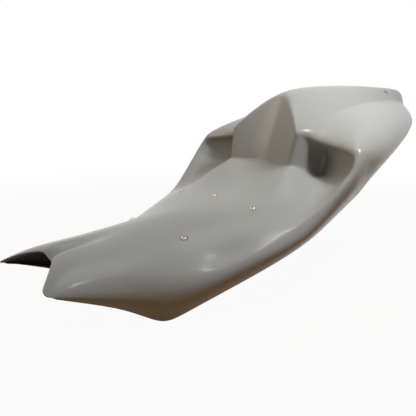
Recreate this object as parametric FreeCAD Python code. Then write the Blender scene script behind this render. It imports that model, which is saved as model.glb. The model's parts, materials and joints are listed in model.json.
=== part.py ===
import FreeCAD, Part
import math
import os
from collections import namedtuple

from FreeCAD import Vector

# Motorcycle tail fairing: a one-piece moulded seat and tail hump, with the five screws of its seat pan.
# Millimetres. X is the rider's left, Y runs to the tail, Z is up; the origin is in the middle of the thread
# of the centre screw, the fixing that the fairing is held by.
# The body is symmetric, so each station gives points of its left half as (half width, station, height).

# Moulding
wall = 3.0
flank_swell = 0.1
groove_depth = 15.0
groove_side = 0.7

# Seat stations from the nose back: centre line, power of the crown, share of the groove, lip of the side,
# widest line and trimmed rim
Seat = namedtuple("Seat", "centre crown groove lip girth rim")
seat_stations = [
    Seat((-298, -48), 2.2, 1.0, (84, -348, -73), (95, -343, -76), (98, -333, -81)),
    Seat((-287, -40), 2.2, 1.0, (90, -334, -68), (103, -327, -77), (101, -314, -88)),
    Seat((-238, -38), 2.3, 0.3, (97, -262, -69), (112, -255, -86), (107, -236, -113)),
    Seat((-195, -31), 2.0, 0.0, (112, -205, -70), (132, -200, -96), (121, -189, -149)),
    Seat((-113, -19), 1.7, 0.0, (132, -113, -74), (154, -130, -87), (133, -157, -132)),
    Seat((-40, -7), 3.2, 0.0, (154, -40, -43), (180, -45, -56), (166, -49, -88)),
    Seat((30, 7), 3.4, 0.0, (178, 34, -20), (194, 30, -38), (177, 32, -59)),
]
crown_shares = (0.0, 0.09, 0.20, 0.31, 0.40, 0.49, 0.58, 0.67, 0.77, 0.88, 1.0)
crown_sweep = 1.4

# Bum stop: a leaning face between its base line on the pan and the pointed arch of the hump
base_centre = (0, 114, 50)
base_corner = (78, 102, 52)
pan_run_out = (0, -9, -5)
arch_top = (0, 170, 180)
arch_side = (84, 112, 109)
arch_swell = 8.0
arch_turn = (2, 13, 9)
face_hollow = 5.0
face_shares = (0.0, 0.06, 0.30, 0.66, 0.94, 1.0)
across_shares = (0.0, 0.45, 0.88, 1.0)

# Side pockets: blind scoops beside the bum stop; each line runs from the mouth to the hump's front edge
pan_side = [(84, 88, 44), (92, 83, 39), (108, 78, 29), (122, 76, 21), (142, 73, 9), (170, 70, -8)]
pocket_wall = [(90, 106, 48), (93, 134, 43), (94, 140, 56), (95, 141, 80), (95, 138, 94), (94, 132, 101)]
wall_edge_share = 0.3
panel_edge_share = 0.2
joint_shares = (1 / 3, 2 / 3)
pocket_lines = [
    [(107, 108, 43), (100, 150, 31), (97, 166, 42), (99, 172, 72), (103, 152, 89), (106, 134, 92)],
    [(132, 104, 28), (140, 143, 29), (142, 152, 40), (146, 158, 70), (145, 152, 85), (143, 140, 87)],
    [(172, 95, 11), (176, 128, 33), (184, 134, 44), (188, 139, 68), (187, 134, 78), (186, 126, 82)],
]
roof_turn = (1, 11, 18)
pocket_lip = [
    (191, 76, 19), (196, 92, 37), (199, 102, 49), (201, 110, 58),
    (202, 117, 67), (201, 124, 76), (200, 132, 85), (198, 142, 94),
]
girth_out = 12.0
girth_drop = 17.0
girth_sweep = (-4, 12)
pocket_rim = ((178, 74, -39), (167, 187, 11))

# Hump and tail stations: ridge, power of the roll to the shoulder, crease beside the ridge, shoulder,
# widest line and trimmed rim
Hump = namedtuple("Hump", "ridge roll crease shoulder girth rim")
hump_stations = [
    Hump((232, 192), 2.1, (92, 217, 147), (188, 200, 108), (206, 202, 74), (160, 216, 26)),
    Hump((325, 194), 2.0, (69, 327, 159), (148, 318, 126), (160, 322, 100), (129, 328, 62)),
    Hump((425, 192), 1.7, (50, 428, 162), (101, 424, 130), (107, 424, 112), (95, 424, 88)),
    Hump((502, 188), 1.3, (34, 488, 158), (74, 471, 131), (83, 457, 115), (87, 440, 94)),
    Hump((544, 184), 1.3, (29, 507, 152), (69, 481, 128), (78, 466, 113), (82, 451, 97)),
    Hump((548, 160), 1.3, (29, 511, 139), (69, 485, 123), (76, 472, 109), (78, 460, 99)),
]
ridge_shares = (0.0, 0.42, 0.75, 0.94)
ridge_fall = 1.7
shoulder_shares = (0.0, 0.06, 0.17, 0.30, 0.48, 0.73, 1.0)

# Screws of the seat pan: one on the centre line, one each side of it and a pair ahead of them
rear_row_half = 100.0
front_pair_half = 78.0
front_pair_station = -120.0
screw_head_diameter = 10.5
screw_head_height = 3.3
screw_edge_height = 0.9
screw_flat_diameter = 6.0
screw_crown_bulge = 0.32
screw_socket_flats = 4.0
screw_socket_depth = 2.0
screw_neck_diameter = 5.3
screw_thread_diameter = 6.0
screw_thread_length = 14.0
neck_below_pan = 1.0
screw_hole_clearance = 0.6
seat_diameter = 13.0
seat_depth = 0.8
neck_length = wall - seat_depth + neck_below_pan

# Degree and seams of the skin, and reach of the drills
skin_degree = 3
seam_tolerance = 1e-6
drill_reach = 12.0

# Hole each side of the ridge, near the tail
tail_hole_half = 26.0
tail_hole_station = 446.0
tail_hole_diameter = 7.0
tail_hole_rim_diameter = 13.0
tail_hole_sink = 1.1


def between(start, end, share):
    """Point a share of the way from one point to another."""
    return tuple(a + (b - a) * share for a, b in zip(start, end))


def moved(point, step):
    """Point after a step."""
    return tuple(a + b for a, b in zip(point, step))


def flank(girth, rim):
    """Side of the body from its widest line down to the rim."""
    swell = flank_swell * (girth[2] - rim[2])
    return [girth, moved(between(girth, rim, 0.5), (swell, 0, 0)), rim]


def seat_row(seat):
    """Row across the pan, from the centre line over the crown to the lip, and down the side."""
    station, height = seat.centre
    half, lip_station, lip_height = seat.lip
    row = []
    for share in crown_shares:
        across = half * share
        along = station + (lip_station - station) * share ** crown_sweep
        up = height + (lip_height - height) * share ** seat.crown
        row.append((across, along, up))
    sink = seat.groove * groove_depth
    row[0] = moved(row[0], (0, 0, -sink))
    row[1] = moved(row[1], (0, 0, -sink * groove_side))
    return row + flank(seat.girth, seat.rim)


def base_line(share):
    """Point on the bottom edge of the bum stop, bowed to the front at its corners."""
    station = base_centre[1] + (base_corner[1] - base_centre[1]) * share ** 2
    height = base_centre[2] + (base_corner[2] - base_centre[2]) * share
    return (base_corner[0] * share, station, height)


def arch_line(share):
    """Point on the top edge of the bum stop, where its face meets the hump."""
    swell = 4 * share * (1 - share) * arch_swell
    return moved(between(arch_top, arch_side, share), (0, 0, swell))


def face_point(share_up, share_across):
    """Point on the hollow face of the bum stop."""
    hollow = 4 * share_up * (1 - share_up) * (1 - share_across) * face_hollow
    flat = between(base_line(share_across), arch_line(share_across), share_up)
    return moved(flat, (0, -hollow, 0))


def pocket_rows():
    """Rows of the bum stop and the pocket beside it, from the pan to the front edge of the hump."""
    faces = [[face_point(up, across) for across in across_shares] for up in face_shares]
    middle = []
    for face, *hollow in zip(faces, pocket_wall, *pocket_lines):
        wall_edge = between(face[-1], hollow[0], wall_edge_share)
        panel_edge = between(hollow[1], hollow[2], panel_edge_share)
        middle.append(face + [wall_edge] + hollow[:2] + [panel_edge] + hollow[2:])
    front = [moved(point, pan_run_out) for point in faces[0]] + pan_side
    turned_arch = [moved(point, arch_turn) for point in faces[-1][1:]]
    turned_top = moved(faces[-1][0], (0, *arch_turn[1:]))
    turned_roof = [moved(point, roof_turn) for point in middle[-1][-len(pocket_lines) - 1:]]
    joint = [between(turned_arch[-1], turned_roof[0], share) for share in joint_shares]
    behind = [turned_top] + turned_arch + joint + turned_roof
    rows = []
    last = len(pocket_lip) - 1
    for k, inner in enumerate([front] + middle + [behind]):
        sweep = girth_sweep[0] + (girth_sweep[1] - girth_sweep[0]) * k / last
        girth = moved(pocket_lip[k], (girth_out, sweep, -girth_drop))
        rim = between(*pocket_rim, k / last)
        rows.append(inner + [pocket_lip[k]] + flank(girth, rim))
    return rows


def hump_row(hump):
    """Row across the hump, from the ridge over the crease and shoulder, and down the side."""
    ridge = (0, *hump.ridge)
    row = []
    for share in ridge_shares:
        across, along, _ = between(ridge, hump.crease, share)
        fall = (ridge[2] - hump.crease[2]) * share ** ridge_fall
        row.append((across, along, ridge[2] - fall))
    for share in shoulder_shares:
        across, along, _ = between(hump.crease, hump.shoulder, share)
        fall = (hump.crease[2] - hump.shoulder[2]) * share ** hump.roll
        row.append((across, along, hump.crease[2] - fall))
    return row + flank(hump.girth, hump.rim)


def skin_net():
    """Control net of the outer skin, nose to tail and right rim to left rim."""
    half_rows = [seat_row(seat) for seat in seat_stations]
    half_rows += pocket_rows()
    half_rows += [hump_row(hump) for hump in hump_stations]
    rows = []
    for row in half_rows:
        right = [Vector(-x, y, z) for x, y, z in row[:0:-1]]
        rows.append(right + [Vector(*point) for point in row])
    return rows


def knots_of(count):
    """Even knots of a clamped curve and how often each one counts."""
    spans = count - skin_degree
    knots = [k / spans for k in range(spans + 1)]
    return knots, [skin_degree + 1] + [1] * (spans - 1) + [skin_degree + 1]


def surface_of(net):
    """Smooth surface drawn by a control net."""
    rows, row_counts = knots_of(len(net))
    columns, column_counts = knots_of(len(net[0]))
    surface = Part.BSplineSurface()
    degrees = (skin_degree, skin_degree)
    surface.buildFromPolesMultsKnots(net, row_counts, column_counts, rows, columns, False, False, *degrees)
    return surface


def average_knots(count):
    """Parameter at which each control point of a clamped even curve pulls the most."""
    spans = count - skin_degree
    padded = [0.0] * skin_degree + [k / spans for k in range(spans + 1)] + [1.0] * skin_degree
    return [sum(padded[k + 1:k + 1 + skin_degree]) / skin_degree for k in range(count)]


def inset_net(net, surface, inset):
    """Control net moved inside the skin by the laminate's thickness."""
    rows = average_knots(len(net))
    columns = average_knots(len(net[0]))
    inner = []
    for u, row in zip(rows, net):
        inner.append([point + outward(surface, u, v) * -inset for v, point in zip(columns, row)])
    return inner


def outward(surface, u, v):
    """Unit normal that points out of the body."""
    along = surface.getDN(u, v, 1, 0)
    across = surface.getDN(u, v, 0, 1)
    return across.cross(along).normalize()


def wall_solid(outer, inner):
    """Solid between two surfaces whose edges run side by side."""
    faces = [outer.toShape(), inner.toShape()]
    for side in ("u", "v"):
        for end in (0.0, 1.0):
            pair = [s.uIso(end) if side == "u" else s.vIso(end) for s in (outer, inner)]
            faces.append(Part.makeRuledSurface(pair[0].toShape(), pair[1].toShape()))
    shell = Part.Shell(faces)
    shell.sewShape()
    solid = Part.Solid(shell)
    solid.fix(seam_tolerance, seam_tolerance, seam_tolerance)
    return solid


def skin_spot(surface, half_width, station):
    """Point of the skin straight above or below a place, and the way that the skin faces there."""
    skin = surface.toShape()
    heights = (skin.BoundBox.ZMin, skin.BoundBox.ZMax)
    plumb = Part.makeLine(*[Vector(half_width, station, height) for height in heights])
    _, _, contacts = skin.distToShape(plumb)
    u, v = contacts[0][2]
    return surface.value(u, v), outward(surface, u, v)


def placed(shape, point, axis):
    """Shape turned from upright onto an axis and moved to a point."""
    copy = shape.copy()
    copy.Placement = FreeCAD.Placement(point, FreeCAD.Rotation(Vector(0, 0, 1), axis))
    return copy


def screw_seats(surface):
    """Seat point and axis of each screw, the centre one first."""
    places = [(0, 0)]
    for side in (1, -1):
        places.append((side * rear_row_half, 0))
        places.append((side * front_pair_half, front_pair_station))
    spots = [skin_spot(surface, *place) for place in places]
    return [(point - axis * seat_depth, axis) for point, axis in spots]


def screw():
    """Button-head screw, upright, with the underside of its head at the origin.

    A neck under the head passes the wall, and the thread is a plain cylinder of its outside diameter.
    """
    head_radius = screw_head_diameter / 2
    crown_start = Vector(head_radius, 0, screw_edge_height)
    crown_end = Vector(screw_flat_diameter / 2, 0, screw_head_height)
    bulge = Vector(0, 1, 0).cross(crown_end - crown_start).normalize() * screw_crown_bulge
    crown_middle = (crown_start + crown_end) / 2 + bulge
    outline = [
        Part.makeLine(Vector(0, 0, 0), Vector(head_radius, 0, 0)),
        Part.makeLine(Vector(head_radius, 0, 0), crown_start),
        Part.Arc(crown_start, crown_middle, crown_end).toShape(),
        Part.makeLine(crown_end, Vector(0, 0, screw_head_height)),
        Part.makeLine(Vector(0, 0, screw_head_height), Vector(0, 0, 0)),
    ]
    head = Part.Face(Part.Wire(outline)).revolve(Vector(0, 0, 0), Vector(0, 0, 1), 360)
    neck = Part.makeCylinder(screw_neck_diameter / 2, neck_length, Vector(0, 0, -neck_length))
    thread_end = Vector(0, 0, -neck_length - screw_thread_length)
    thread = Part.makeCylinder(screw_thread_diameter / 2, screw_thread_length, thread_end)
    corner = screw_socket_flats / math.sqrt(3)
    turns = [math.radians(60 * k) for k in range(7)]
    floor = screw_head_height - screw_socket_depth
    hexagon = Part.makePolygon([Vector(corner * math.cos(t), corner * math.sin(t), floor) for t in turns])
    socket = Part.Face(hexagon).extrude(Vector(0, 0, screw_head_height))
    return head.fuse([neck, thread]).cut(socket).removeSplitter()


def hole_cutter(diameter, widening):
    """Upright drill through the wall, joined to the cut that widens its mouth."""
    drill = Part.makeCylinder(diameter / 2, drill_reach * 2, Vector(0, 0, -drill_reach))
    return drill.fuse(widening).removeSplitter()


def drilled(shell, surface, seats):
    """Moulding with a flat seat and a hole for each screw, and the sunk holes beside the ridge."""
    flat = Part.makeCylinder(seat_diameter / 2, drill_reach)
    screw_hole = hole_cutter(screw_thread_diameter + screw_hole_clearance, flat)
    for point, axis in seats:
        shell = shell.cut(placed(screw_hole, point, axis))
    sink = Part.makeCylinder(tail_hole_rim_diameter / 2, drill_reach)
    tail_hole = hole_cutter(tail_hole_diameter, sink)
    for point, axis in tail_hole_spots(surface):
        shell = shell.cut(placed(tail_hole, point - axis * tail_hole_sink, axis))
    return shell


def tail_hole_spots(surface):
    """Point and axis of the hole each side of the ridge."""
    return [skin_spot(surface, side * tail_hole_half, tail_hole_station) for side in (1, -1)]


net = skin_net()
outer = surface_of(net)
inner = surface_of(inset_net(net, outer, wall))
seats = screw_seats(outer)
thread_middles = [point - axis * (neck_length + screw_thread_length / 2) for point, axis in seats]
origin = thread_middles[0]
nodes = {
    "seat_shell": drilled(wall_solid(outer, inner), outer, seats),
    "seat_screws": Part.makeCompound([placed(screw(), point, axis) for point, axis in seats]),
}
os.makedirs("parts", exist_ok=True)
for name, shape in nodes.items():
    shape.translate(origin * -1)
    shape.exportStep("parts/" + name + ".step")
    print(name, len(shape.Solids), len(shape.Faces), shape.isValid(), round(shape.Volume), shape.BoundBox)
for middle, (_, axis) in zip(thread_middles, seats):
    print("thread", middle - origin, axis * -1)
for point, axis in tail_hole_spots(outer):
    print("tail hole", point - axis * (wall + tail_hole_sink) / 2 - origin, axis)
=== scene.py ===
"""Looks of the motorcycle tail fairing: grey gelcoat moulding, zinc screws, a pale studio and the camera."""

import json
import logging
import math
from dataclasses import dataclass, field
from enum import Enum, IntEnum
from typing import Any, Union

import bmesh
import bpy
from mathutils import Matrix, Vector


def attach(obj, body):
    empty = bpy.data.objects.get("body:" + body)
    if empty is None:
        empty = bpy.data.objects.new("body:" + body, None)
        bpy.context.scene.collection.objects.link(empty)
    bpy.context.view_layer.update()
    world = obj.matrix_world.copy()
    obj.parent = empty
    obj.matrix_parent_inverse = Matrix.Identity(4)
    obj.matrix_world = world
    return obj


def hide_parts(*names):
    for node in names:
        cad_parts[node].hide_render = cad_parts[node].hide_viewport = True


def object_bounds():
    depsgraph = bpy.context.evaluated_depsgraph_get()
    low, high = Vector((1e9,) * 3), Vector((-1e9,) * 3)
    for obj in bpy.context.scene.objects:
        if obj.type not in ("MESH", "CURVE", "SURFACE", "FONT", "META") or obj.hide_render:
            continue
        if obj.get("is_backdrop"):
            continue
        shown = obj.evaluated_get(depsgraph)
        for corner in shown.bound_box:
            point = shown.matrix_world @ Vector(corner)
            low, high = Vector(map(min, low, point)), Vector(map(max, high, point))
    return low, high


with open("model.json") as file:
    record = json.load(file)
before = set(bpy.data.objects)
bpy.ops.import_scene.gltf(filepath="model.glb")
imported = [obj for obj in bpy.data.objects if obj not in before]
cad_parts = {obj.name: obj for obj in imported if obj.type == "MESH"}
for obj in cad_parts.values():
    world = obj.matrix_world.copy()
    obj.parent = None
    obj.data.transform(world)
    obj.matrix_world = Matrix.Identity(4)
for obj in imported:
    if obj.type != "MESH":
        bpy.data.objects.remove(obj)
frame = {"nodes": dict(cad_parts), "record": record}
log = logging.getLogger("tail_fairing")

Colour = tuple[float, float, float, float]
Place = tuple[float, float, float]
Value = Union[float, "Wire"]

WHITE: Colour = (1.0, 1.0, 1.0, 1.0)
NOISE_MIDDLE = 0.5
SQUARE = 4
HEXAGON = 6
MILLIMETRE = 0.001


class Slot(Enum):
    """Material slots of the record."""

    GELCOAT = "gelcoat"
    STEEL = "steel"


class Node(Enum):
    """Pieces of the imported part."""

    SHELL = "seat_shell"
    SCREWS = "seat_screws"


class Side(IntEnum):
    """Sides of the laminate, by their place in the moulding's list of finishes."""

    OUTER = 0
    INNER = 1
    CUT = 2


class Merge(Enum):
    """Ways to merge two closed meshes."""

    UNION = "UNION"
    INTERSECT = "INTERSECT"
    DIFFERENCE = "DIFFERENCE"


class Wire:
    """Output socket of a node that can be used in sums and products."""

    def __init__(self, graph: "Graph", socket: bpy.types.NodeSocket) -> None:
        """Keeps the graph and the socket.

        Args:
            graph: Graph that the socket belongs to.
            socket: Output socket.
        """
        self.graph = graph
        self.socket = socket

    def _math(self, operation: str, first: Value, second: Value) -> "Wire":
        """Adds one Math node.

        Args:
            operation: Name of the Math node's operation.
            first: First value.
            second: Second value.

        Returns:
            The node's result.
        """
        return self.graph.node("ShaderNodeMath", {"operation": operation}, {0: first, 1: second})

    def __add__(self, other: Value) -> "Wire":
        """Sum."""
        return self._math("ADD", self, other)

    def __sub__(self, other: Value) -> "Wire":
        """Difference."""
        return self._math("SUBTRACT", self, other)

    def __rsub__(self, other: Value) -> "Wire":
        """Difference from a number."""
        return self._math("SUBTRACT", other, self)

    def __mul__(self, other: Value) -> "Wire":
        """Product."""
        return self._math("MULTIPLY", self, other)

    def maximum(self, other: Value) -> "Wire":
        """Greater of two values."""
        return self._math("MAXIMUM", self, other)

    __radd__ = __add__
    __rmul__ = __mul__


class Graph:
    """Node tree of a material, of the world or of a modifier, built node by node."""

    def __init__(self, tree: bpy.types.NodeTree) -> None:
        """Takes a tree and empties it.

        Args:
            tree: Tree to build in.
        """
        self.tree = tree
        tree.nodes.clear()

    def node(self, kind: str, settings: dict[str, Any], inputs: dict[Any, Any], output: Any = 0) -> Wire:
        """Adds a node, sets it and links it.

        Args:
            kind: Node type.
            settings: Attributes of the node.
            inputs: Values or wires by the socket's name or place.
            output: Name or place of the output that is wanted.

        Returns:
            That output.
        """
        made = self.tree.nodes.new(kind)
        for name, value in settings.items():
            setattr(made, name, value)
        for name, value in inputs.items():
            if isinstance(value, Wire):
                self.tree.links.new(value.socket, made.inputs[name])
            else:
                made.inputs[name].default_value = value
        return Wire(self, made.outputs[output]) if made.outputs else Wire(self, None)

    def noise(self, scale: float, detail: float, roughness: float = 0.5) -> Wire:
        """Noise over the piece's own coordinates.

        Args:
            scale: Waves per metre.
            detail: Octaves.
            roughness: Share of the finer octaves.

        Returns:
            The noise, about NOISE_MIDDLE.
        """
        place = self.node("ShaderNodeTexCoord", {}, {}, "Object")
        sizes = {"Vector": place, "Scale": scale, "Detail": detail, "Roughness": roughness}
        return self.node("ShaderNodeTexNoise", {}, sizes, "Fac")

    def blend(self, share: Wire, first: Any, second: Any) -> Wire:
        """Mixes two colours.

        Args:
            share: Share of the second colour.
            first: Colour or wire.
            second: Colour or wire.

        Returns:
            The mixed colour.
        """
        settings = {"data_type": "RGBA", "clamp_factor": True}
        return self.node("ShaderNodeMix", settings, {"Factor": share, 6: first, 7: second}, 2)

    def rod(self, radius: Value, length: Value, sides: int) -> Wire:
        """Upright cylinder about the origin.

        Args:
            radius: Radius over its corners.
            length: Length.
            sides: Number of sides.

        Returns:
            The cylinder's mesh.
        """
        sizes = {"Vertices": sides, "Radius": radius, "Depth": length}
        return self.node("GeometryNodeMeshCylinder", {}, sizes, "Mesh")

    def shifted(self, shape: Wire, step: Any) -> Wire:
        """Shape moved by a step.

        Args:
            shape: Geometry.
            step: Vector or wire.

        Returns:
            The moved geometry.
        """
        return self.node("GeometryNodeTransform", {}, {"Geometry": shape, "Translation": step})

    def joined(self, shapes: list[Wire]) -> Wire:
        """Several meshes as one geometry.

        Args:
            shapes: Geometries.

        Returns:
            The joined geometry.
        """
        made = self.node("GeometryNodeJoinGeometry", {}, {})
        for shape in reversed(shapes):
            self.tree.links.new(shape.socket, made.socket.node.inputs[0])
        return made

    def merged(self, way: Merge, body: Wire, tool: Wire) -> Wire:
        """Body cut by, kept in or united with a tool.

        Args:
            way: Cut, keep or unite.
            body: Closed mesh.
            tool: Closed mesh.

        Returns:
            The result's mesh.
        """
        settings = {"operation": way.value, "solver": "EXACT"}
        if way is Merge.DIFFERENCE:
            return self.node("GeometryNodeMeshBoolean", settings, {0: body, 1: tool})
        made = self.node("GeometryNodeMeshBoolean", settings, {1: body})
        self.tree.links.new(tool.socket, made.socket.node.inputs[1])
        return made

    def ramp(self, value: Wire, low: float, high: float) -> Wire:
        """Smooth step from 0 to 1.

        Args:
            value: Value to map.
            low: Value that gives 0.
            high: Value that gives 1.

        Returns:
            The step.
        """
        sizes = {"Value": value, "From Min": low, "From Max": high}
        return self.node("ShaderNodeMapRange", {"interpolation_type": "SMOOTHSTEP"}, sizes)

    def bump(self, relief: Wire) -> Wire:
        """Normal of a surface with a fine relief.

        Args:
            relief: Height in metres.

        Returns:
            The normal.
        """
        return self.node("ShaderNodeBump", {}, {"Height": relief, "Strength": 1.0, "Distance": 1.0})

    def surface(self, sockets: dict[str, Any]) -> None:
        """Ends a finish in one shader.

        Args:
            sockets: Values or wires of the shader's sockets.
        """
        shader = self.node("ShaderNodeBsdfPrincipled", {}, sockets)
        self.node("ShaderNodeOutputMaterial", {}, {"Surface": shader})


def new_material(name: str) -> tuple[bpy.types.Material, Graph]:
    """Makes a material with an empty tree.

    Args:
        name: Name of the finish.

    Returns:
        The material and the graph of its tree.
    """
    made = bpy.data.materials.new(name)
    made.use_nodes = True
    return made, Graph(made.node_tree)


@dataclass(frozen=True)
class Gelcoat:
    """Unpainted grey gelcoat of the outer skin, faintly clouded, with a soft gloss."""

    grey: Colour = (0.452, 0.460, 0.448, 1.0)
    cloud: Colour = (0.424, 0.430, 0.416, 1.0)
    cloud_scale: float = 6.0
    cloud_detail: float = 3.0
    cloud_limits: tuple[float, float] = (0.25, 0.75)
    gloss_roughness: float = 0.30
    roughness_range: float = 0.04
    haze_scale: float = 24.0
    haze_detail: float = 3.0
    reflection: float = 0.08
    coat: float = 0.27
    coat_roughness: float = 0.175
    ripple_scale: float = 26.0
    ripple_detail: float = 2.0
    ripple_height: float = 0.00001
    grain_scale: float = 260.0
    grain_detail: float = 3.0
    grain_height: float = 0.0000012

    def material(self) -> bpy.types.Material:
        """Builds the finish of the outer skin.

        Returns:
            The material.
        """
        made, graph = new_material("grey_gelcoat")
        cloud = graph.ramp(graph.noise(self.cloud_scale, self.cloud_detail), *self.cloud_limits)
        colour = graph.blend(cloud, self.grey, self.cloud)
        haze = graph.noise(self.haze_scale, self.haze_detail)
        roughness = self.gloss_roughness + (haze - NOISE_MIDDLE) * self.roughness_range
        ripple = graph.noise(self.ripple_scale, self.ripple_detail)
        grain = graph.noise(self.grain_scale, self.grain_detail)
        relief = ripple * self.ripple_height + grain * self.grain_height
        bump = graph.bump(relief)
        sockets = {
            "Base Color": colour,
            "Roughness": roughness,
            "Normal": bump,
            "Specular IOR Level": self.reflection,
            "Coat Weight": self.coat,
            "Coat Roughness": self.coat_roughness,
        }
        graph.surface(sockets)
        return made


@dataclass(frozen=True)
class GlassMat:
    """Inside of the laminate: chopped glass in dark resin, as laid by hand."""

    resin: Colour = (0.022, 0.020, 0.017, 1.0)
    glass: Colour = (0.060, 0.056, 0.047, 1.0)
    strand_scale: float = 130.0
    strand_limits: tuple[float, float] = (0.0, 0.22)
    strand_share: float = 0.35
    lump_scale: float = 28.0
    lump_detail: float = 4.0
    relief_height: float = 0.0005
    smooth_roughness: float = 0.62
    roughness_range: float = 0.25
    reflection: float = 0.12

    def material(self) -> bpy.types.Material:
        """Builds the finish of the inner skin.

        Returns:
            The material.
        """
        made, graph = new_material("glass_mat")
        place = graph.node("ShaderNodeTexCoord", {}, {}, "Object")
        settings = {"feature": "DISTANCE_TO_EDGE"}
        cells = {"Vector": place, "Scale": self.strand_scale}
        edges = graph.node("ShaderNodeTexVoronoi", settings, cells, "Distance")
        strands = graph.ramp(edges, *self.strand_limits)
        lumps = graph.noise(self.lump_scale, self.lump_detail)
        colour = graph.blend(strands * lumps, self.resin, self.glass)
        roughness = self.smooth_roughness + (lumps - NOISE_MIDDLE) * self.roughness_range
        relief = (strands * self.strand_share + lumps) * self.relief_height
        bump = graph.bump(relief)
        sockets = {
            "Base Color": colour,
            "Roughness": roughness,
            "Normal": bump,
            "Specular IOR Level": self.reflection,
        }
        graph.surface(sockets)
        return made


@dataclass(frozen=True)
class CutLaminate:
    """Trimmed and drilled edges of the laminate, where its plies show."""

    resin: Colour = (0.115, 0.098, 0.072, 1.0)
    glass: Colour = (0.200, 0.178, 0.140, 1.0)
    ply_scale: float = 700.0
    ply_detail: float = 3.0
    ply_roughness: float = 0.65
    ply_limits: tuple[float, float] = (0.35, 0.65)
    relief_height: float = 0.00008
    smooth_roughness: float = 0.62
    roughness_range: float = 0.2

    def material(self) -> bpy.types.Material:
        """Builds the finish of the cut edges.

        Returns:
            The material.
        """
        made, graph = new_material("cut_laminate")
        plies = graph.noise(self.ply_scale, self.ply_detail, self.ply_roughness)
        colour = graph.blend(graph.ramp(plies, *self.ply_limits), self.resin, self.glass)
        roughness = self.smooth_roughness + (plies - NOISE_MIDDLE) * self.roughness_range
        relief = plies * self.relief_height
        bump = graph.bump(relief)
        sockets = {"Base Color": colour, "Roughness": roughness, "Normal": bump}
        graph.surface(sockets)
        return made


@dataclass(frozen=True)
class ZincSteel:
    """Zinc plate on the screws, a little warm, with fine turning marks and dull patches."""

    bright: Colour = (0.50, 0.45, 0.385, 1.0)
    dull: Colour = (0.27, 0.225, 0.17, 1.0)
    patch_scale: float = 420.0
    patch_detail: float = 3.0
    patch_limits: tuple[float, float] = (0.4, 0.75)
    turning_scale: float = 2600.0
    turning_detail: float = 2.0
    turning_height: float = 0.00001
    smooth_roughness: float = 0.27
    roughness_range: float = 0.22

    def material(self) -> bpy.types.Material:
        """Builds the finish of the screws.

        Returns:
            The material.
        """
        made, graph = new_material("zinc_steel")
        patches = graph.noise(self.patch_scale, self.patch_detail)
        colour = graph.blend(graph.ramp(patches, *self.patch_limits), self.bright, self.dull)
        roughness = self.smooth_roughness + patches * self.roughness_range
        marks = graph.noise(self.turning_scale, self.turning_detail) * self.turning_height
        bump = graph.bump(marks)
        sockets = {"Base Color": colour, "Roughness": roughness, "Metallic": 1.0, "Normal": bump}
        graph.surface(sockets)
        return made


@dataclass
class Moulding:
    """The seat, bum stop, hump and tail as one shell, smooth over its skins and sharp at its rims."""

    weld: float = 0.000002
    sharp_angle: float = math.radians(38)
    least_edge_area: float = 0.0003
    outside: Gelcoat = field(default_factory=Gelcoat)
    inside: GlassMat = field(default_factory=GlassMat)
    edges: CutLaminate = field(default_factory=CutLaminate)

    def build(self) -> bpy.types.Object:
        """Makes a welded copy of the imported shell, smooth apart from its rims and holes.

        Returns:
            The piece.
        """
        mesh = frame["nodes"][Node.SHELL.value].data.copy()
        mesh.name = "tail_moulding"
        mesh.materials.clear()
        work = bmesh.new()
        work.from_mesh(mesh)
        bmesh.ops.remove_doubles(work, verts=work.verts, dist=self.weld)
        for face in work.faces:
            face.smooth = True
        for edge in work.edges:
            edge.smooth = edge.calc_face_angle(0.0) < self.sharp_angle
        self.mark_skins(work)
        work.to_mesh(mesh)
        work.free()
        piece = bpy.data.objects.new("tail_moulding", mesh)
        bpy.context.scene.collection.objects.link(piece)
        return piece

    def mark_skins(self, work: bmesh.types.BMesh) -> None:
        """Numbers the faces by the side of the laminate that they are on.

        The sharp rims part the skins. The outer skin is the one that reaches the highest, and the small
        faces in the holes go with it.

        Args:
            work: Welded shell with its sharp edges marked.
        """
        waiting = set(work.faces)
        patches = []
        while waiting:
            patch = [waiting.pop()]
            for face in patch:
                beside = [other for edge in face.edges if edge.smooth for other in edge.link_faces]
                fresh = [other for other in beside if other in waiting]
                waiting.difference_update(fresh)
                patch.extend(dict.fromkeys(fresh))
            patches.append(patch)
        patches.sort(key=lambda patch: sum(face.calc_area() for face in patch), reverse=True)
        skins = sorted(patches[:2], key=lambda patch: max(v.co.z for face in patch for v in face.verts))
        sides = [(skins[0], Side.INNER), (skins[1], Side.OUTER)]
        for patch in patches[2:]:
            trimmed = sum(face.calc_area() for face in patch) > self.least_edge_area
            sides.append((patch, Side.CUT if trimmed else Side.OUTER))
        for patch, side in sides:
            for face in patch:
                face.material_index = side

    def dress(self, piece: bpy.types.Object) -> None:
        """Gives the skins and the cut edges their finishes.

        Args:
            piece: The moulding.
        """
        for finish in (self.outside, self.inside, self.edges):
            piece.data.materials.append(finish.material())
        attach(piece, "root")
        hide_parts(Node.SHELL.value)


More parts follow.
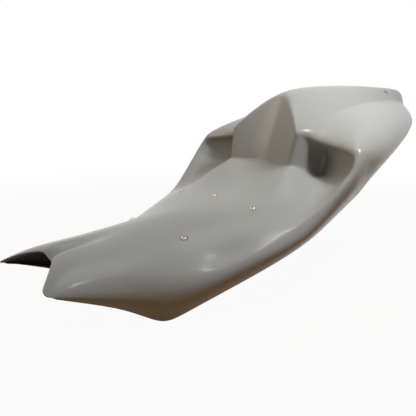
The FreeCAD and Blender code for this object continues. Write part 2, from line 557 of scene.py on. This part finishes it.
@dataclass
class Screws:
    """Button-head screws of the seat pan, built once and set on each fixing by Geometry Nodes."""

    head_diameter: float = 0.0105
    head_height: float = 0.0033
    edge_height: float = 0.0009
    flat_diameter: float = 0.0060
    socket_flats: float = 0.0040
    socket_depth: float = 0.0020
    socket_chamfer: float = 0.0003
    neck_diameter: float = 0.0053
    neck_length: float = 0.0032
    core_diameter: float = 0.0050
    thread_pitch: float = 0.0010
    ridge_share: float = 0.49
    head_sides: int = 64
    shank_sides: int = 48
    turn_steps: int = 28
    spin_seed: int = 7
    sharp_angle: float = math.radians(32)
    finish: ZincSteel = field(default_factory=ZincSteel)

    def build(self) -> bpy.types.Object:
        """Sets a screw on each pin of the record and bakes them to one mesh.

        Returns:
            The piece.
        """
        pins = [mount for mount in frame["record"]["mounts"] if mount["kind"] == "pin"]
        sizes = pins[0]["dims"]
        length = sizes["length_mm"] * MILLIMETRE
        seats = bpy.data.meshes.new("screw_seats")
        ways = [-Vector(pin["axis"]) for pin in pins]
        reach = self.neck_length + length / 2
        heads = [Vector(pin["pos_m"]) + way * reach for pin, way in zip(pins, ways)]
        seats.from_pydata(heads, [], [])
        way_data = seats.attributes.new("way", "FLOAT_VECTOR", "POINT")
        way_data.data.foreach_set("vector", [number for way in ways for number in way])
        holder = bpy.data.objects.new("screw_seats", seats)
        bpy.context.scene.collection.objects.link(holder)
        tree = self.tree(sizes["r_mm"] * MILLIMETRE, length)
        modifier = holder.modifiers.new("screws", "NODES")
        modifier.node_group = tree
        modifier[self.socket_named(tree, "Spin Seed")] = self.spin_seed
        modifier[self.socket_named(tree, "Finish")] = self.finish.material()
        evaluated = holder.evaluated_get(bpy.context.evaluated_depsgraph_get())
        mesh = bpy.data.meshes.new_from_object(evaluated)
        mesh.name = "pan_screws"
        holder.modifiers.remove(modifier)
        bpy.data.objects.remove(holder)
        mesh.shade_smooth()
        mesh.set_sharp_from_angle(angle=self.sharp_angle)
        piece = bpy.data.objects.new("pan_screws", mesh)
        bpy.context.scene.collection.objects.link(piece)
        return piece

    @staticmethod
    def socket_named(tree: bpy.types.NodeTree, name: str) -> str:
        """Finds the identifier of one of a tree's inputs.

        Args:
            tree: Tree with a named input.
            name: Name of the input.

        Returns:
            The input's identifier.
        """
        return tree.interface.items_tree[name].identifier

    def tree(self, thread_radius: float, thread_length: float) -> bpy.types.NodeTree:
        """Builds the tree that makes a screw and sets it on each seat.

        Args:
            thread_radius: Outside radius of the thread.
            thread_length: Length of the thread.

        Returns:
            The tree.
        """
        tree = bpy.data.node_groups.new("screws_on_seats", "GeometryNodeTree")
        plan = {
            "Seats": "NodeSocketGeometry",
            "Head Radius": "NodeSocketFloat",
            "Head Height": "NodeSocketFloat",
            "Socket Radius": "NodeSocketFloat",
            "Neck Radius": "NodeSocketFloat",
            "Neck Length": "NodeSocketFloat",
            "Core Radius": "NodeSocketFloat",
            "Thread Length": "NodeSocketFloat",
            "Spin Seed": "NodeSocketInt",
            "Finish": "NodeSocketMaterial",
        }
        for name, kind in plan.items():
            tree.interface.new_socket(name, in_out="INPUT", socket_type=kind)
        tree.interface.new_socket("Screws", in_out="OUTPUT", socket_type="NodeSocketGeometry")
        values = {
            "Head Radius": self.head_diameter / 2,
            "Head Height": self.head_height,
            "Socket Radius": self.socket_flats / math.sqrt(3),
            "Neck Radius": self.neck_diameter / 2,
            "Neck Length": self.neck_length,
            "Core Radius": self.core_diameter / 2,
            "Thread Length": thread_length,
        }
        for name, value in values.items():
            tree.interface.items_tree[name].default_value = value
        graph = Graph(tree)
        inputs = {name: graph.node("NodeGroupInput", {}, {}, name) for name in plan}
        head = self.head(graph, inputs)
        shank = self.shank(graph, inputs)
        thread = self.thread(graph, thread_radius, thread_length)
        screw = graph.joined([graph.merged(Merge.UNION, head, shank), thread])
        way = graph.node("GeometryNodeInputNamedAttribute", {"data_type": "FLOAT_VECTOR"}, {"Name": "way"})
        upright = graph.node("FunctionNodeAlignRotationToVector", {"axis": "Z"}, {"Vector": way})
        spin = graph.node("FunctionNodeRandomValue", {}, {"Max": math.tau, "Seed": inputs["Spin Seed"]}, 1)
        turn = graph.node("ShaderNodeCombineXYZ", {}, {"Z": spin})
        settings = {"rotation_space": "LOCAL"}
        spun = graph.node("FunctionNodeRotateRotation", settings, {"Rotation": upright, "Rotate By": turn})
        sockets = {"Points": inputs["Seats"], "Instance": screw, "Rotation": spun}
        copies = graph.node("GeometryNodeInstanceOnPoints", {}, sockets)
        real = graph.node("GeometryNodeRealizeInstances", {}, {"Geometry": copies})
        dressed = graph.node("GeometryNodeSetMaterial", {}, {"Geometry": real, "Material": inputs["Finish"]})
        graph.node("NodeGroupOutput", {}, {"Screws": dressed})
        return tree

    def head(self, graph: Graph, inputs: dict[str, Wire]) -> Wire:
        """Domed head with a flat top and a chamfered hexagon socket, its underside at zero.

        Args:
            graph: Graph to build in.
            inputs: Named inputs of the tree.

        Returns:
            The head's mesh.
        """
        edge, flat = self.head_diameter / 2, self.flat_diameter / 2
        rise = self.head_height - self.edge_height
        below = (edge ** 2 - flat ** 2 - rise ** 2) / (2 * rise)
        sizes = {"Segments": self.head_sides, "Rings": self.head_sides, "Radius": math.hypot(edge, below)}
        ball = graph.node("GeometryNodeMeshUVSphere", {}, sizes)
        dome = graph.shifted(ball, (0.0, 0.0, self.edge_height - below))
        blank = graph.rod(inputs["Head Radius"], inputs["Head Height"], self.head_sides)
        lifted = graph.shifted(blank, (0.0, 0.0, self.head_height / 2))
        button = graph.merged(Merge.INTERSECT, lifted, dome)
        key = graph.rod(inputs["Socket Radius"], self.socket_depth * 2, HEXAGON)
        button = graph.merged(Merge.DIFFERENCE, button, graph.shifted(key, (0.0, 0.0, self.head_height)))
        mouth = self.socket_flats / math.sqrt(3) + self.socket_chamfer
        sizes = {"Vertices": self.shank_sides, "Radius Top": mouth, "Radius Bottom": 0.0, "Depth": mouth}
        funnel = graph.node("GeometryNodeMeshCone", {}, sizes, "Mesh")
        return graph.merged(Merge.DIFFERENCE, button, graph.shifted(funnel, (0.0, 0.0, self.head_height - mouth)))

    def shank(self, graph: Graph, inputs: dict[str, Wire]) -> Wire:
        """Neck through the pan and the core of the thread, down from zero.

        Args:
            graph: Graph to build in.
            inputs: Named inputs of the tree.

        Returns:
            The shank's mesh.
        """
        neck = graph.rod(inputs["Neck Radius"], inputs["Neck Length"] + self.edge_height, self.shank_sides)
        rise = (self.edge_height - inputs["Neck Length"]) * 0.5
        neck_middle = graph.node("ShaderNodeCombineXYZ", {}, {"Z": rise})
        core = graph.rod(inputs["Core Radius"], inputs["Thread Length"], self.shank_sides)
        drop = inputs["Neck Length"] + inputs["Thread Length"] * 0.5
        core_middle = graph.node("ShaderNodeCombineXYZ", {}, {"Z": drop * -1.0})
        return graph.merged(Merge.UNION, graph.shifted(neck, neck_middle), graph.shifted(core, core_middle))

    def thread(self, graph: Graph, radius: float, length: float) -> Wire:
        """Ridge of the thread, wound round the core.

        Args:
            graph: Graph to build in.
            radius: Outside radius of the thread.
            length: Length of the thread.

        Returns:
            The ridge's mesh.
        """
        half = self.thread_pitch * self.ridge_share
        climb = length - self.thread_pitch
        sizes = {
            "Resolution": self.turn_steps,
            "Rotations": climb / self.thread_pitch,
            "Start Radius": radius - half,
            "End Radius": radius - half,
            "Height": climb,
        }
        path = graph.node("GeometryNodeCurveSpiral", {}, sizes)
        upright = graph.node("GeometryNodeSetCurveNormal", {"mode": "Z_UP"}, {"Curve": path})
        ridge = graph.node("GeometryNodeCurvePrimitiveCircle", {}, {"Resolution": SQUARE, "Radius": half})
        swept = {"Curve": upright, "Profile Curve": ridge, "Fill Caps": True}
        wound = graph.node("GeometryNodeCurveToMesh", {}, swept)
        return graph.shifted(wound, (0.0, 0.0, half - self.neck_length - length))

    def dress(self, piece: bpy.types.Object) -> None:
        """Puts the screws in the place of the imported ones.

        Args:
            piece: The screws.
        """
        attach(piece, "root")
        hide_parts(Node.SCREWS.value)


@dataclass(frozen=True)
class Lamp:
    """Soft round lamp that is aimed at the part."""

    name: str
    place: Place
    size: float
    power: float
    colour: Colour = WHITE

    def build(self, aim: Place) -> None:
        """Hangs the lamp.

        Args:
            aim: Point that the lamp faces.
        """
        lamp = bpy.data.lights.new(self.name, "AREA")
        lamp.shape = "DISK"
        lamp.size = self.size
        lamp.energy = self.power
        lamp.color = self.colour[:3]
        holder = bpy.data.objects.new(self.name, lamp)
        bpy.context.scene.collection.objects.link(holder)
        holder.location = self.place
        way = Vector(aim) - Vector(self.place)
        holder.rotation_euler = way.to_track_quat("-Z", "Y").to_euler()


@dataclass
class Studio:
    """Pale floor, soft lamps and the camera at the photograph's angle."""

    image_size: float = 416.0
    focal_pixels: float = 550.0
    sensor_width: float = 36.0
    nearest: float = 0.01
    camera_place: Place = (0.739, -0.5893, 0.1869)
    azimuth: float = math.radians(52.2)
    elevation: float = math.radians(11.9)
    floor_drop: float = 0.004
    floor_half: float = 30.0
    bounce_colour: Colour = (0.46, 0.22, 0.03, 1.0)
    shadow_share: float = 0.05
    shadow_reach: tuple[float, float] = (0.7, 1.6)
    zenith: Colour = (0.08, 0.08, 0.08, 1.0)
    horizon: Colour = (0.01, 0.01, 0.01, 1.0)
    lamp_aim: Place = (0.0, 0.1, 0.05)
    lamps: tuple[Lamp, ...] = (
        Lamp("right", (-1.14, -1.05, 1.05), 0.9, 7.4, (1.0, 0.86, 0.66, 1.0)),
        Lamp("left", (0.37, 0.22, 0.53), 0.12, 2.1),
        Lamp("over", (-0.20, 0.05, 1.40), 0.6, 2.5),
        Lamp("top", (0.24, 0.03, 1.30), 0.10, 1.3),
    )

    def build_floor(self) -> None:
        """Lays the floor under the lowest point of the part."""
        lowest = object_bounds()[0].z - self.floor_drop
        half = self.floor_half
        corners = [(-half, -half, lowest), (half, -half, lowest), (half, half, lowest), (-half, half, lowest)]
        mesh = bpy.data.meshes.new("floor")
        mesh.from_pydata(corners, [], [(0, 1, 2, 3)])
        floor = bpy.data.objects.new("floor", mesh)
        bpy.context.scene.collection.objects.link(floor)
        mesh.materials.append(self.floor_material())
        floor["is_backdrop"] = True

    def floor_material(self) -> bpy.types.Material:
        """Matt floor that the camera and reflections see as white, less the part's shadow.

        The light that it throws back onto the part is brown, as from the table in the photograph.

        Returns:
            The material.
        """
        made, graph = new_material("pale_floor")
        seen = self.seen_rays(graph)
        place = graph.node("ShaderNodeTexCoord", {}, {}, "Object")
        reach = graph.node("ShaderNodeVectorMath", {"operation": "LENGTH"}, {0: place}, "Value")
        far = graph.ramp(reach, *self.shadow_reach)
        matt = graph.node("ShaderNodeBsdfDiffuse", {}, {"Color": self.bounce_colour})
        white = graph.node("ShaderNodeEmission", {}, {"Color": WHITE, "Strength": 1.0})
        share = seen * (1.0 - (1.0 - far) * self.shadow_share)
        shader = graph.node("ShaderNodeMixShader", {}, {0: share, 1: matt, 2: white})
        graph.node("ShaderNodeOutputMaterial", {}, {"Surface": shader})
        return made

    @staticmethod
    def seen_rays(graph: Graph) -> Wire:
        """Share of rays that see the background: from the camera, in gloss and through glass.

        Args:
            graph: Graph to build in.

        Returns:
            1 for such a ray and 0 for others.
        """
        names = ("Is Camera Ray", "Is Glossy Ray", "Is Transmission Ray")
        first, second, third = (graph.node("ShaderNodeLightPath", {}, {}, name) for name in names)
        return first.maximum(second).maximum(third)

    def build_light(self) -> None:
        """Sets the white surround and the soft lamps."""
        world = bpy.data.worlds.new("studio")
        world.use_nodes = True
        bpy.context.scene.world = world
        graph = Graph(world.node_tree)
        seen = self.seen_rays(graph)
        way = graph.node("ShaderNodeTexCoord", {}, {}, "Generated")
        height = graph.node("ShaderNodeSeparateXYZ", {}, {"Vector": way}, "Z")
        sky = graph.blend(graph.ramp(height, 0.0, 1.0), self.horizon, self.zenith)
        dim = graph.node("ShaderNodeBackground", {}, {"Color": sky, "Strength": 1.0})
        white = graph.node("ShaderNodeBackground", {}, {"Color": WHITE, "Strength": 1.0})
        shader = graph.node("ShaderNodeMixShader", {}, {0: seen, 1: dim, 2: white})
        graph.node("ShaderNodeOutputWorld", {}, {"Surface": shader})
        for lamp in self.lamps:
            lamp.build(self.lamp_aim)

    def build_camera(self) -> None:
        """Stands the camera where the photograph was taken from."""
        lens = bpy.data.cameras.new("camera")
        lens.sensor_width = self.sensor_width
        lens.lens = lens.sensor_width * self.focal_pixels / self.image_size
        lens.clip_start = self.nearest
        camera = bpy.data.objects.new("camera", lens)
        bpy.context.scene.collection.objects.link(camera)
        around = Matrix.Rotation(self.azimuth, 4, "Z")
        down = Matrix.Rotation(math.pi / 2 - self.elevation, 4, "X")
        camera.matrix_world = Matrix.Translation(self.camera_place) @ around @ down
        bpy.context.scene.camera = camera


def main() -> None:
    """Builds and dresses the part, then the studio."""
    logging.basicConfig(level=logging.INFO, format="%(name)s: %(message)s")
    bpy.context.scene.view_settings.view_transform = "Standard"
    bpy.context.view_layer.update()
    moulding = Moulding()
    shell = moulding.build()
    moulding.dress(shell)
    log.info("%s: %d faces", shell.name, len(shell.data.polygons))
    screws = Screws()
    heads = screws.build()
    screws.dress(heads)
    log.info("%s: %d faces", heads.name, len(heads.data.polygons))
    studio = Studio()
    studio.build_floor()
    studio.build_light()
    studio.build_camera()
    log.info("studio built")


if __name__ == "__main__":
    main()
